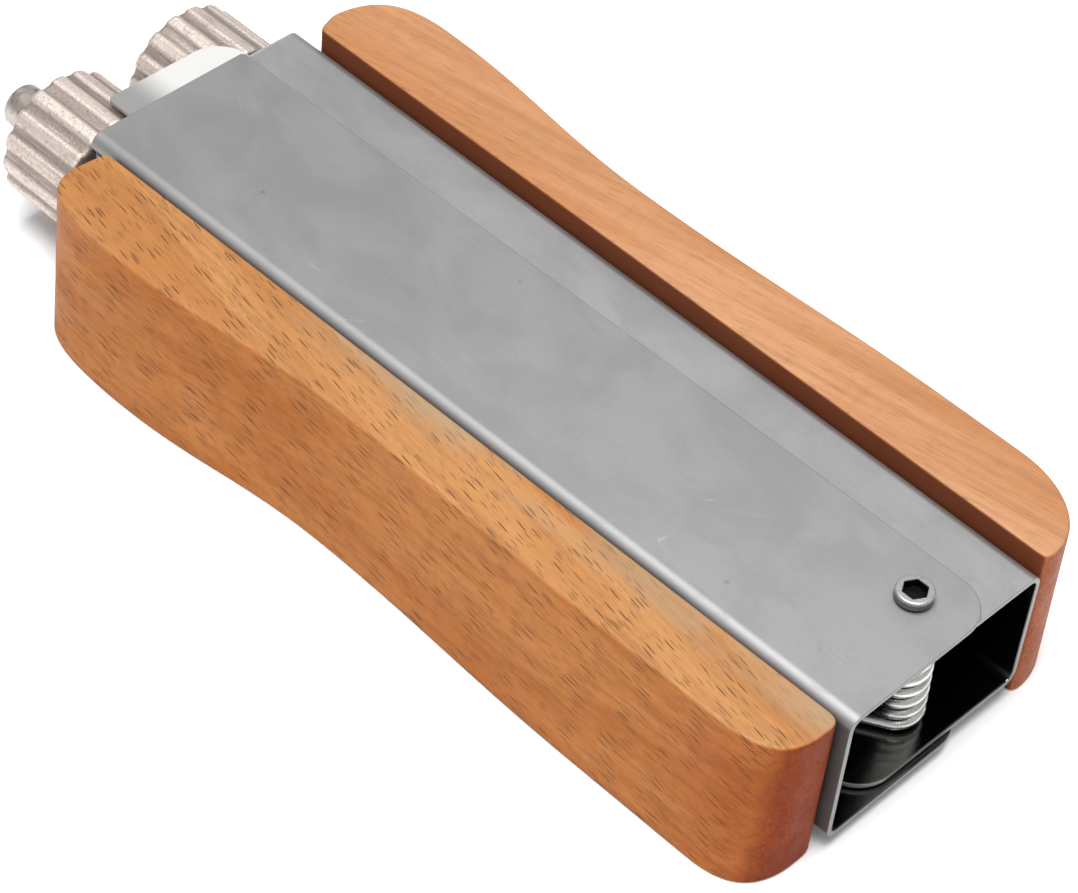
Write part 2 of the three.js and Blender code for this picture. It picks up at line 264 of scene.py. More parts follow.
def thread(start, end, radius, depth, pitch, count):
    """Sections of a screw thread: the radius follows a helix, which fades in and out over one turn."""
    sections = []
    turn_steps = 8
    steps = max(2, round((end - start) / pitch * turn_steps))
    for i in range(steps + 1):
        distance = start + (end - start) * i / steps
        fade = min(1.0, i / turn_steps, (steps - i) / turn_steps)
        radii = []
        for k in range(count):
            phase = (distance - start) / pitch - k / count
            ridge = 0.5 + 0.5 * math.cos(2 * math.pi * phase)
            radii.append(radius - depth * fade * (1 - ridge))
        sections.append((distance, radii))
    return sections


# ---- folded channels ----

def inside(loop, point):
    """Whether a 2-D point is inside a closed loop."""
    found = False
    for a, b in zip(loop, loop[1:] + loop[:1]):
        if (a[1] > point[1]) != (b[1] > point[1]):
            if point[0] < a[0] + (b[0] - a[0]) * (point[1] - a[1]) / (b[1] - a[1]):
                found = not found
    return found


def arc(centre, radius, start_deg, end_deg, steps):
    """Points of a 2-D arc, with both its ends."""
    points = []
    for i in range(steps + 1):
        angle = math.radians(start_deg + (end_deg - start_deg) * i / steps)
        points.append((centre[0] + radius * math.cos(angle), centre[1] + radius * math.sin(angle)))
    return points


def sheet_mesh(outline, holes, creases, fold, edge_round=0.16):
    """Points and faces of a sheet cut to outline with holes, divided along creases, then folded.
    fold(u, s, depth) gives the place of a point of the flat pattern at a depth under its outer face."""
    points = []
    edges = []
    for loop in [outline, *holes]:
        first = len(points)
        points += [Vector(p) for p in loop]
        edges += [(first + k, first + (k + 1) % len(loop)) for k in range(len(loop))]
    for a, b in creases:
        edges.append((len(points), len(points) + 1))
        points += [Vector(a), Vector(b)]
    flat, _, found = delaunay_2d_cdt(points, edges, [], 0, 1e-4)[:3]
    faces = []
    for face in found:
        centre = sum((flat[i] for i in face), Vector((0.0, 0.0))) / len(face)
        if inside(outline, centre) and not any(inside(hole, centre) for hole in holes):
            faces.append(tuple(face))

    sides = {(face[k], face[(k + 1) % len(face)]) for face in faces for k in range(len(face))}
    rim = {a: b for a, b in sides if (b, a) not in sides}
    before = {b: a for a, b in rim.items()}
    outward = {}
    for i, following in rim.items():
        along_in = (flat[i] - flat[before[i]]).normalized()
        along_out = (flat[following] - flat[i]).normalized()
        middle = (along_in + along_out).normalized()
        stretch = 1 / max(0.5, middle.dot(along_out))  # keeps the inset even round a corner
        outward[i] = Vector((middle.y, -middle.x)) * stretch

    still = Vector((0.0, 0.0))
    rounding_steps = 3
    profile = []
    for k in range(rounding_steps + 1):
        angle = math.pi / 2 / rounding_steps * k
        profile.append((edge_round * (1 - math.sin(angle)), edge_round * (1 - math.cos(angle))))
    profile += [(inset, SHEET - depth) for inset, depth in reversed(profile)]
    used = sorted({i for face in faces for i in face})
    place = {}
    solid = []
    for step, (inset, depth) in enumerate(profile):
        for i in used if step in (0, len(profile) - 1) else rim:
            spot = flat[i] - outward.get(i, still) * inset
            place[i, step] = len(solid)
            solid.append(fold(spot[0], spot[1], depth))
    last = len(profile) - 1
    shell = [tuple(place[i, 0] for i in face) for face in faces]
    shell += [tuple(place[i, last] for i in reversed(face)) for face in faces]
    for a, b in rim.items():
        for step in range(last):
            shell.append((place[b, step], place[a, step], place[a, step + 1], place[b, step + 1]))
    return solid, shell


def channel_mesh(edge, bottom, top, rear, axle_y, pivot_y, tongue=None):
    """A channel with its wall at +WALL: its flat pattern runs u along the tool and s round the section,
    from the free edge of the bottom plate to that of the top plate. The front ear is folded in."""
    plate = WALL - BEND - edge
    quarter = BEND * math.pi / 2
    wall_low = plate + quarter
    wall_high = wall_low + top - bottom - 2 * BEND
    top_start = wall_high + quarter
    end = top_start + plate
    notch = 0.6
    blunt = 0.5
    ear_corner = 1.8
    ear_low = wall_low + max(HOLLOW_BOTTOM + GAP - bottom - BEND, notch)
    ear_high = wall_high - max(top - BEND - HOLLOW_TOP + GAP, notch)
    ear_start = LENGTH - BEND
    ear_tip = ear_start + quarter + FLANGE_WIDTH - BEND

    def wall_s(z):
        return wall_low + z - bottom - BEND

    def fold(u, s, depth):
        reach = BEND - depth
        if s < plate:
            return (u, edge + s, bottom + depth)
        if s < wall_low:
            angle = (s - plate) / BEND
            return (u, WALL - BEND + reach * math.sin(angle), bottom + BEND - reach * math.cos(angle))
        if s > top_start:
            return (u, WALL - BEND - (s - top_start), top - depth)
        if s > wall_high:
            angle = (s - wall_high) / BEND
            return (u, WALL - BEND + reach * math.cos(angle), top - BEND + reach * math.sin(angle))
        z = bottom + BEND + s - wall_low
        if u <= ear_start or not ear_low - notch / 2 < s < ear_high + notch / 2:
            return (u, WALL - depth, z)
        if u < ear_start + quarter:
            angle = (u - ear_start) / BEND
            return (ear_start + reach * math.sin(angle), WALL - BEND + reach * math.cos(angle), z)
        return (LENGTH - depth, WALL - BEND - (u - ear_start - quarter), z)

    outline = [(LENGTH - blunt, 0.0), (LENGTH, blunt)]
    outline += [(LENGTH, ear_low - notch), (ear_start - notch, ear_low - notch), (ear_start - notch, ear_low)]
    outline += arc((ear_tip - ear_corner, ear_low + ear_corner), ear_corner, -90, 0, 6)
    outline += arc((ear_tip - ear_corner, ear_high - ear_corner), ear_corner, 0, 90, 6)
    outline += [(ear_start - notch, ear_high), (ear_start - notch, ear_high + notch)]
    outline += [(LENGTH, ear_high + notch)]
    if tongue:
        tip, side, corner = tongue
        side_s = top_start + WALL - BEND - side
        outline += [(LENGTH, side_s)]
        outline += arc((tip - corner, side_s + corner), corner, -90, 0, 12)
        outline += [(tip, end - blunt), (tip - blunt, end)]
    else:
        outline += [(LENGTH, end - blunt), (LENGTH - blunt, end)]
    inward = rear + PLATE_CORNER
    outline += arc((inward, end - PLATE_CORNER), PLATE_CORNER, 90, 180, 14)
    outline += arc((inward, PLATE_CORNER), PLATE_CORNER, 180, 270, 14)

    pivot_s = pivot_y - edge
    spots = [(PIVOT_X, pivot_s, PIVOT_RADIUS), (PIVOT_X, end - pivot_s, PIVOT_RADIUS)]
    spots += [(x, wall_s(HEIGHT / 2), WOOD_SCREW_RADIUS) for x in SCREW_X.values()]
    spots += [(ear_start + quarter + WALL - BEND - axle_y, wall_s(AXLE_Z), AXLE_RADIUS)]
    holes = [arc((u, s), radius + RUNNING_GAP, 360, 0, 36)[:-1] for u, s, radius in spots]

    steps = 10
    creases = []
    for start in (plate, wall_high):
        for k in range(steps + 1):
            s = start + quarter * k / steps
            creases.append(((rear, s), (LENGTH, s)))
    for k in range(steps + 1):
        u = ear_start + quarter * k / steps
        creases.append(((u, ear_low), (u, ear_high)))
    return sheet_mesh(outline, holes, creases, fold)


def make_channels():
    """Both are made with the wall at +Y. The inner one is mirrored."""
    shape = channel_mesh(OUTER_PLATE_EDGE, 0.0, HEIGHT, 0.0, LEFT_AXLE_Y, PIVOT_Y)
    outer = new_piece("outer_channel", shape, LEFT, "left_jaw", sharp=14)
    tongue = (LENGTH + TONGUE_REACH, -TONGUE_EDGE, TONGUE_CORNER)
    levels = (INNER_BOTTOM, INNER_TOP)
    shape = channel_mesh(-INNER_PLATE_EDGE, *levels, INNER_REAR, -RIGHT_AXLE_Y, -PIVOT_Y, tongue)
    inner = new_piece("inner_channel", shape, RIGHT @ MIRROR, "right_jaw", sharp=14)
    return outer, inner


# ---- handles ----

# Handles seen from above, measured forward from the rear end and out from the inner face. rear is (widest
# from, to, width, width of the blunt end), waist (place, width), front (widest at, width, width of the blunt
# end). rear_inner and front_inner cut the inner corners. flare is how much wider the underside is, at the
# rear and at the front.
LEFT_PLAN = {
    "start": 1.25,
    "span": 136.45,
    "flare": (0.20, 0.12),
    "rear": (9.5, 30.0, 11.2, 4.6),
    "waist": (78.0, 10.0),
    "front": (118.0, 13.0, 6.0),
    "rear_inner": 0.9,
    "front_inner": 0.6,
}
RIGHT_PLAN = {
    "start": 0.65,
    "span": 137.5,
    "flare": (0.12, 0.12),
    "rear": (14.0, 26.0, 12.4, 2.0),
    "waist": (80.0, 10.7),
    "front": (125.0, 14.1, 3.6),
    "rear_inner": 0.4,
    "front_inner": 1.2,
}


# Control points of a handle's curves: by a blunt end, at a share of the way out to the full width, near the
# widest place, and at the waist level with a curve's two ends, at a share of its length from each.
FRONT_BROW = 0.72
REAR_BROW = 0.64
BROW_INSET = 0.6
FRONT_CROWN = 4.5
REAR_CROWN = 6.5
CROWN_DROP = 0.1
WAIST_EASE = 0.42


def bezier(a, b, c, d, steps=40):
    """Points of a cubic curve after its start a, up to and with its end d."""
    points = []
    for i in range(1, steps + 1):
        t = i / steps
        w = ((1 - t) ** 3, 3 * t * (1 - t) ** 2, 3 * t * t * (1 - t), t**3)
        points.append(sum((Vector(p) * k for p, k in zip((a, b, c, d), w)), Vector((0.0, 0.0))))
    return points


def handle_outline(plan):
    """A plan's closed outline: the inner face forward, then round the front end and back by the waist."""
    span = plan["span"]
    rear_from, rear_to, rear_out, rear_nose = plan["rear"]
    waist_at, waist_out = plan["waist"]
    front_at, front_out, front_nose = plan["front"]
    front_brow = front_nose + FRONT_BROW * (front_out - front_nose)
    rear_brow = rear_nose + REAR_BROW * (rear_out - rear_nose)
    rear_crown = (rear_from - REAR_CROWN, rear_out - CROWN_DROP)
    front_crown = (span - FRONT_CROWN, front_out - CROWN_DROP)
    rear_run = WAIST_EASE * (waist_at - rear_to)
    front_run = WAIST_EASE * (front_at - waist_at)
    waist = (waist_at, waist_out)
    points = [Vector((plan["rear_inner"], 0.0)), Vector((span - plan["front_inner"], 0.0))]
    points.append(Vector((span, front_nose)))
    points += bezier(points[-1], (span - BROW_INSET, front_brow), front_crown, (front_at, front_out))
    points += bezier(points[-1], (front_at - front_run, front_out), (waist_at + front_run, waist_out), waist)
    points += bezier(
        points[-1], (waist_at - rear_run, waist_out), (rear_to + rear_run, rear_out), (rear_to, rear_out)
    )
    points.append(Vector((rear_from, rear_out)))
    points += bezier(points[-1], rear_crown, (BROW_INSET, rear_brow), (0.0, rear_nose))
    points.append(Vector((0.0, plan["rear_inner"])))
    return points


def resampled(points, count):
    """count points, evenly spaced along a closed line."""
    tiny = 1e-9
    closed = points + points[:1]
    lengths = [(b - a).length for a, b in zip(closed, closed[1:])]
    step = sum(lengths) / count
    found = []
    piece, passed = 0, 0.0
    for k in range(count):
        while passed + lengths[piece] < k * step - tiny:
            passed += lengths[piece]
            piece += 1
        share = (k * step - passed) / max(lengths[piece], tiny)
        found.append(closed[piece].lerp(closed[piece + 1], share))
    return found


def rounded(points, passes):
    """A closed line whose corners are eased by averaging each point with its neighbours."""
    for _ in range(passes):
        points = [
            (points[k - 1] + points[k] * 2 + points[(k + 1) % len(points)]) / 4 for k in range(len(points))
        ]
    return points


def handle_mesh(plan, top):
    """The outline stacked upward, its long edges filleted, thicker at its underside than at its top."""
    count = 560
    edge = 0.5
    fillet_steps = 5
    side_steps = 10
    corner_passes = 4
    outline = rounded(resampled(handle_outline(plan), count), corner_passes)
    outward = []
    for k in range(count):
        along = (outline[(k + 1) % count] - outline[k - 1]).normalized()
        outward.append(Vector((along.y, -along.x)))
    levels = []
    for i in range(fillet_steps + 1):
        angle = math.pi / 2 * i / fillet_steps
        levels.append((edge * (1 - math.sin(angle)), HANDLE_BOTTOM + edge * (1 - math.cos(angle))))
    rise = top - HANDLE_BOTTOM
    upper = [(inset, HANDLE_BOTTOM + top - z) for inset, z in reversed(levels)]
    levels += [(0.0, HANDLE_BOTTOM + edge + (rise - 2 * edge) * i / side_steps) for i in range(1, side_steps)]
    levels += upper
    flare_rear, flare_front = plan["flare"]
    loops = []
    for inset, z in levels:
        depth = (top - z) / rise
        loop = []
        for spot, normal in zip(outline, outward):
            place = spot - normal * inset
            x = plan["start"] + place.x
            share = flare_rear + (flare_front - flare_rear) * x / LENGTH
            loop.append((x, WALL + GAP + place.y * (1 + share * depth), z))
        loops.append(loop)
    return stack(loops)


def make_handles():
    left = new_piece("left_handle", handle_mesh(LEFT_PLAN, LEFT_HANDLE_TOP), LEFT, "left_jaw")
    shape = handle_mesh(RIGHT_PLAN, RIGHT_HANDLE_TOP)
    right = new_piece("right_handle", shape, RIGHT @ MIRROR, "right_jaw")
    return left, right


# ---- fasteners ----

def bore_sections(radius, start, end, lead_in, count):
    """Sections of a bore that widens by lead_in at both ends."""
    wide = circle(radius + lead_in, count)
    bore = circle(radius, count)
    return [(start, wide), (start + lead_in, bore), (end - lead_in, bore), (end, wide)]


def socket_head(radius, seat, top, edge, soften, flats, depth, count):
    """Sections of a round head from its seat to its top, then down a blind hexagon socket."""
    socket = hexagon(flats, count)
    mouth = [reach + 0.14 for reach in socket]
    sections = [(seat, circle(radius - edge, count)), (seat + edge, circle(radius, count))]
    sections += shoulder(radius, seat + edge, top, soften, count, steps=6)
    return sections + [(top, mouth), (top - 0.15, socket), (top - depth, socket)]


def make_handle_screw(name, x, jaw, body):
    """A round-headed wood screw with a cross recess, through the channel's wall."""
    count = 64
    seat = WALL - SHEET - GAP
    back = seat - WOOD_HEAD_HEIGHT
    tip = WALL + WOOD_SCREW_LENGTH - WOOD_POINT_CUT
    dome = 0.9
    dome_steps = 6
    crown_radius = 1.75
    edge = 0.1
    arm = cross(1.35, 0.55, count)
    mouth = cross(1.5, 0.75, count)
    sections = [(back + dome, [radius * 0.55 for radius in arm])]
    sections += [(back + 0.35, arm), (back + 0.05, mouth)]
    for i in range(dome_steps + 1):
        angle = math.pi / 2 * i / dome_steps
        radius = crown_radius + (WOOD_HEAD_RADIUS - crown_radius) * math.sin(angle)
        sections.append((back + dome * (1 - math.cos(angle)), circle(radius, count)))
    sections.append((seat - edge, circle(WOOD_HEAD_RADIUS, count)))
    sections.append((seat, circle(WOOD_HEAD_RADIUS - edge, count)))
    sections += thread(seat + 0.02, tip - 2.2, WOOD_SCREW_RADIUS, depth=0.32, pitch=1.15, count=count)
    sections += [(tip - 1.0, circle(0.6, count)), (tip, circle(0.08, count))]
    return new_piece(name, turned("y", (x, 0.0, HEIGHT / 2), sections), jaw, body)


def make_pivot_screw():
    """The hinge screw, its head above the channels, its thread below them."""
    count = 72
    seat = HEIGHT + GAP
    top = seat + PIVOT_HEAD_HEIGHT
    tip = HANDLE_BOTTOM + PIVOT_TIP
    sections = [(tip, circle(PIVOT_RADIUS - 0.4, count)), (tip + 0.3, circle(PIVOT_RADIUS - 0.1, count))]
    sections += thread(tip + 0.4, 0.0, PIVOT_RADIUS - 0.02, depth=0.24, pitch=0.5, count=count)
    sections += [(0.2, circle(PIVOT_RADIUS - 0.05, count)), (seat, circle(PIVOT_RADIUS, count))]
    sections += socket_head(PIVOT_HEAD_RADIUS, seat, top, 0.15, 0.3, PIVOT_SOCKET, PIVOT_SOCKET_DEPTH, count)
    return new_piece("pivot_screw", turned("z", (PIVOT_X, PIVOT_Y, 0.0), sections), LEFT, "left_jaw")


def ring_mesh(axis, centre, inner, outer, start, end, soften, count=72):
    """A plain ring whose four edges are chamfered by soften."""
    sections = bore_sections(inner, start, end, soften, count)
    sections += [(end, circle(outer - soften, count)), (end - soften, circle(outer, count))]
    sections += [(start + soften, circle(outer, count)), (start, circle(outer - soften, count))]
    return turned(axis, centre, sections, closed=True)


def make_pivot_nut():
    bore = PIVOT_RADIUS + RUNNING_GAP
    centre = (PIVOT_X, PIVOT_Y, 0.0)
    base = HANDLE_BOTTOM + PIVOT_NUT_BASE
    shape = ring_mesh("z", centre, bore, PIVOT_NUT_RADIUS, base, -GAP, soften=0.2)
    return new_piece("pivot_nut", shape, LEFT, "left_jaw")


def make_axle_screw(name, y, head, jaw, body):
    """A wheel's screw: its head in front of the wheel, its thread in the nut behind the ear."""
    count = 72
    seat = WHEEL_FRONT + GAP + WASHER + GAP
    top = seat + head
    end = LENGTH - SHEET - GAP - NUT - AXLE_TAIL
    edge = 0.2
    soften = min(0.8, head / 2)
    depth = min(AXLE_SOCKET_DEPTH, head * 0.7)
    sections = [(end, circle(AXLE_RADIUS - 0.5, count)), (end + 0.35, circle(AXLE_RADIUS - 0.12, count))]
    sections += thread(end + 0.4, LENGTH - SHEET - GAP, AXLE_RADIUS - 0.02, depth=0.3, pitch=0.7, count=count)
    sections += [(LENGTH - SHEET - edge, circle(AXLE_RADIUS, count)), (seat, circle(AXLE_RADIUS, count))]
    sections += socket_head(AXLE_HEAD_RADIUS, seat, top, edge, soften, AXLE_SOCKET, depth, count)
    return new_piece(name, turned("x", (0.0, y, AXLE_Z), sections), jaw, body)


def make_axle_nut(name, y, jaw, body):
    """A hexagon nut, its corners turned down at both ends by a cone."""
    count = 72
    front = LENGTH - SHEET - GAP
    back = front - NUT
    flats = hexagon(NUT_FLATS, count)
    cone_start = NUT_FLATS / 2 - 0.05
    cone_slope = 1.45
    bevels = []
    for height in (0.0, 0.12, 0.25, 0.4, 0.6):
        cone = circle(cone_start + height * cone_slope, count)
        bevels.append((height, smaller(flats, cone)))
    sections = bore_sections(AXLE_BORE, back, front, 0.25, count)
    sections += [(front - height, radii) for height, radii in bevels]
    sections += [(back + height, radii) for height, radii in reversed(bevels)]
    return new_piece(name, turned("x", (0.0, y, AXLE_Z), sections, closed=True), jaw, body, sharp=25)


def make_bush(name, y, jaw, body):
    shape = ring_mesh("x", (0.0, y, AXLE_Z), AXLE_BORE, BUSH_RADIUS, WHEEL_REAR, WHEEL_FRONT, soften=0.15)
    return new_piece(name, shape, jaw, body)


def make_washer(name, y, start, jaw, body):
    shape = ring_mesh("x", (0.0, y, AXLE_Z), AXLE_BORE, WASHER_RADIUS, start, start + WASHER, soften=0.12)
    return new_piece(name, shape, jaw, body)


# ---- wheels ----

def tooth_radii(phase, shrink, count, wobble):
    """Polar radii of the toothed outline. phase 0 puts a tooth on +Y, 0.5 puts a groove there."""
    mean = WHEEL_RADIUS - TOOTH_DEPTH / 2
    radii = []
    for k in range(count):
        angle = 2 * math.pi * k / count
        wave = math.cos(TEETH * angle - phase * 2 * math.pi) + CREST_SHARE
        radius = mean + TOOTH_DEPTH / 2 * math.tanh(CREST_SHARPNESS * wave) / math.tanh(CREST_SHARPNESS)
        tooth = int((angle * TEETH / (2 * math.pi) - phase + 0.5) % TEETH)
        radii.append(radius - shrink - wobble[tooth] * max(0.0, wave))
    return radii


def make_wheel(side, y, phase, jaw):
    """A cast wheel: teeth along its axis, rims rounded over, each tooth very slightly its own height."""
    tooth_steps = 24
    count = TEETH * tooth_steps
    wobble = [random.uniform(0.0, 0.07) for _ in range(TEETH)]
    bore = BUSH_RADIUS + RUNNING_GAP
    # The rounded rim: how far from the end face, and how much smaller the toothed outline is there.
    rim = [(0.0, 0.75), (0.06, 0.5), (0.18, 0.28), (0.35, 0.12), (0.6, 0.03), (0.9, 0.0)]
    sections = bore_sections(bore, WHEEL_REAR, WHEEL_FRONT, 0.3, count)
    sections.append((WHEEL_FRONT, circle(WHEEL_FACE_RADIUS, count)))
    teeth = [(inward, tooth_radii(phase, shrink, count, wobble)) for inward, shrink in rim]
    sections += [(WHEEL_FRONT - inward, radii) for inward, radii in teeth]
    sections += [(WHEEL_REAR + inward, radii) for inward, radii in reversed(teeth)]
    sections.append((WHEEL_REAR, circle(WHEEL_FACE_RADIUS, count)))
    shape = turned("x", (0.0, y, AXLE_Z), sections, closed=True)
    return new_piece(side + "_wheel", shape, jaw, side + "_wheel", sharp=50)


# ---- torsion spring ----

def spring_line():
    """Centre line of the wire, from the tip of the lower leg up the coil to the tip of the upper leg."""
    clear = WALL - SHEET - GAP - WIRE
    arm = math.hypot(COIL_RADIUS, LEG_REACH)

    def lean(out):
        return math.asin(out / arm) - math.atan2(COIL_RADIUS, LEG_REACH)

    lower_lean = lean(clear - PIVOT_Y)
    upper_lean = lean(clear + PIVOT_Y)
    low_z = HOLLOW_BOTTOM + GAP + WIRE
    rise = HOLLOW_TOP - GAP - WIRE - low_z
    start = math.pi / 2 + lower_lean
    sweep = 2 * math.pi * COIL_TURNS + math.pi - lower_lean - upper_lean

    def coil(share):
        angle = start + sweep * share
        behind = COIL_LOW + (COIL_HIGH - COIL_LOW) * share
        x = PIVOT_X - behind + COIL_RADIUS * math.cos(angle)
        y = PIVOT_Y + COIL_RADIUS * math.sin(angle)
        return Vector((x, y, low_z + rise * share)), Vector((-math.sin(angle), math.cos(angle), 0.0))

    leg_steps = 24
    turn_steps = 40
    line = []
    spot, heading = coil(0.0)
    line += [spot - heading * LEG_REACH * (1 - i / leg_steps) for i in range(leg_steps)]
    coil_steps = COIL_TURNS * turn_steps
    line += [coil(i / coil_steps)[0] for i in range(coil_steps + 1)]
    spot, heading = coil(1.0)
    line += [spot + heading * LEG_REACH * i / leg_steps for i in range(1, leg_steps + 1)]
    return line


def tube(line, radius, count=18):
    """A round wire along a line, its ends slightly rounded."""
    loops = []
    side = Vector((0.0, 0.0, 1.0))
    for i, spot in enumerate(line):
        heading = (line[min(i + 1, len(line) - 1)] - line[max(i - 1, 0)]).normalized()
        side = (side - heading * side.dot(heading)).normalized()
        across = heading.cross(side)
        for inset, shift in ends(i, len(line), radius):
            reach = radius - inset
            centre = spot + heading * shift
            loop = []
            for k in range(count):
                angle = 2 * math.pi * k / count
                loop.append(centre + (side * math.cos(angle) + across * math.sin(angle)) * reach)
            loops.append(loop)
    return stack(loops)


def ends(i, count, radius):
    """Insets and shifts of the loops at point i of a tube: three at each end, one elsewhere."""
    cut = radius * 0.35
    if i == 0:
        return [(cut, 0.0), (cut * 0.3, cut * 0.3), (0.0, cut)]
    if i == count - 1:
        return [(0.0, -cut), (cut * 0.3, -cut * 0.3), (cut, 0.0)]
    return [(0.0, 0.0)]


def make_spring():
    """The spring as one mesh, baked in place and carried by no body: its legs do not follow the jaws."""
    spring = new_piece("torsion_spring", tube(spring_line(), WIRE), LEFT, None)
    low_z = HOLLOW_BOTTOM + GAP + 2 * WIRE
    high_z = HOLLOW_TOP - GAP - 2 * WIRE
    row_frame((PIVOT_X, PIVOT_Y, low_z))
    row_frame((PIVOT_X, PIVOT_Y, high_z))
    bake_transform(spring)
    return spring


# ---- materials ----

GRAIN_DRIFT = 8.0  # degrees by which the grain runs outward towards the rear of a handle
# Cell length, cell width, reach in cells, strength, and the share of cells from none to all of it.
FLECKS = (
    (8.6, 0.66, 0.17, 0.95, 0.35, 0.65),
    (6.2, 0.48, 0.17, 0.65, 0.35, 0.70),
    (4.2, 0.36, 0.18, 0.40, 0.25, 0.80),
)


def tinted(color, share):
    """A color, each channel multiplied by one number or by its own."""
    shares = share if isinstance(share, tuple) else (share, share, share)
    return tuple(c * k for c, k in zip(color, shares))


class Finish:
    """A material with short calls for its nodes. Textures use the piece's own coordinates, in millimetres."""

    def __init__(self, name):
        self.material = bpy.data.materials.new(name)
        self.material.use_nodes = True
        self.tree = self.material.node_tree
        self.shader = self.tree.nodes["Principled BSDF"]
        self.place = self.add("ShaderNodeTexCoord")

    def add(self, kind, **inputs):
        node = self.tree.nodes.new(kind)
        for key, value in inputs.items():
            self.feed(node.inputs[key.replace("_", " ")], value)
        return node

    def feed(self, socket, value):
        if isinstance(value, bpy.types.NodeSocket):
            self.tree.links.new(value, socket)
        else:
            socket.default_value = value

    def mapped(self, rotation, scale, shift):
        """The place on the piece, turned, then scaled and shifted."""
        turn = self.add("ShaderNodeMapping", Vector=self.place.outputs["Object"], Rotation=rotation)
        scaled = self.add("ShaderNodeMapping", Vector=turn.outputs["Vector"], Scale=scale, Location=shift)
        return scaled.outputs["Vector"]

    def grain(self, x, y, z, turn=0.0, shift=(0.0, 0.0, 0.0)):
        """Coordinates in which one unit is x by y by z millimetres, turned about Z by turn degrees."""
        scale = (1 / (x * MM), 1 / (y * MM), 1 / (z * MM))
        return self.mapped((0.0, 0.0, math.radians(turn)), scale, shift)

    def unrolled(self, length, width, side, shift):
        """Flat coordinates that run along the tool, and across a handle's top and on down its side."""
        lean = (math.radians(45 * side), 0.0, math.radians(GRAIN_DRIFT * side))
        spread = width * math.sqrt(0.5)
        return self.mapped(lean, (1 / (length * MM), 1 / (spread * MM), 0.0), shift)

    def noise(self, at, detail=3.0, rough=0.5, bend=0.0):
        node = self.add("ShaderNodeTexNoise", Vector=at, Scale=1.0, Detail=detail, Roughness=rough)
        self.feed(node.inputs["Distortion"], bend)
        return node.outputs["Fac"]

    def cells(self, at, flat=False):
        """Distance to the nearest cell centre, and that cell's random number."""
        node = self.add("ShaderNodeTexVoronoi", Vector=at, Scale=1.0)
        node.voronoi_dimensions = "2D" if flat else "3D"
        pick = self.add("ShaderNodeSeparateColor", Color=node.outputs["Color"])
        return node.outputs["Distance"], pick.outputs["Red"]

    def span(self, value, start, end, low=0.0, high=1.0, smooth=True):
        """value between start and end, as low to high, held outside them."""
        node = self.add("ShaderNodeMapRange")
        node.interpolation_type = "SMOOTHSTEP" if smooth else "LINEAR"
        keys = ("Value", "From Min", "From Max", "To Min", "To Max")
        for key, number in zip(keys, (value, start, end, low, high)):
            self.feed(node.inputs[key], number)
        return node.outputs["Result"]

    def math(self, operation, a, b=0.0):
        node = self.add("ShaderNodeMath")
        node.operation = operation
        self.feed(node.inputs[0], a)
        self.feed(node.inputs[1], b)
        return node.outputs["Value"]

    def times(self, *values):
        product = values[0]
        for value in values[1:]:
            product = self.math("MULTIPLY", product, value)
        return product

    def rest(self, share):
        """What a share leaves of one."""
        return self.math("SUBTRACT", 1.0, share)

    def most(self, *values):
        found = values[0]
        for value in values[1:]:
            found = self.math("MAXIMUM", found, value)
        return found

    def distance(self, first, second, spot):
        """How far two coordinates are from those of a spot."""
        a = self.math("SUBTRACT", first, spot[0])
        b = self.math("SUBTRACT", second, spot[1])
        return self.math("SQRT", self.math("ADD", self.times(a, a), self.times(b, b)))

    def blend(self, share, first, second, mode="MIX"):
        node = self.add("ShaderNodeMix")
        node.data_type = "RGBA"
        node.blend_type = mode
        self.feed(node.inputs["Factor"], share)
        for key, color in (("A", first), ("B", second)):
            socket = [s for s in node.inputs if s.name == key and s.type == "RGBA"][0]
            self.feed(socket, color if isinstance(color, bpy.types.NodeSocket) else (*color, 1.0))
        return [s for s in node.outputs if s.type == "RGBA"][0]

    def axes(self, source="Object"):
        """X, Y and Z of the place on the piece, or of its normal."""
        split = self.add("ShaderNodeSeparateXYZ", Vector=self.place.outputs[source])
        return split.outputs["X"], split.outputs["Y"], split.outputs["Z"]

    def bump(self, height, depth, under=None):
        """A bump of so many millimetres, on top of another."""
        node = self.add("ShaderNodeBump", Strength=1.0, Distance=depth * MM, Height=height)
        if under is not None:
            self.feed(node.inputs["Normal"], under)
        return node.outputs["Normal"]

    def finish(self, color, rough, normal=None, metal=0.0, **inputs):
        settings = {"Base Color": color, "Roughness": rough, "Metallic": metal, **inputs}
        if normal is not None:
            settings["Normal"] = normal
        for key, value in settings.items():
            if key == "Base Color" and not isinstance(value, bpy.types.NodeSocket):
                value = (*value, 1.0)
            self.feed(self.shader.inputs[key], value)
        return self.material


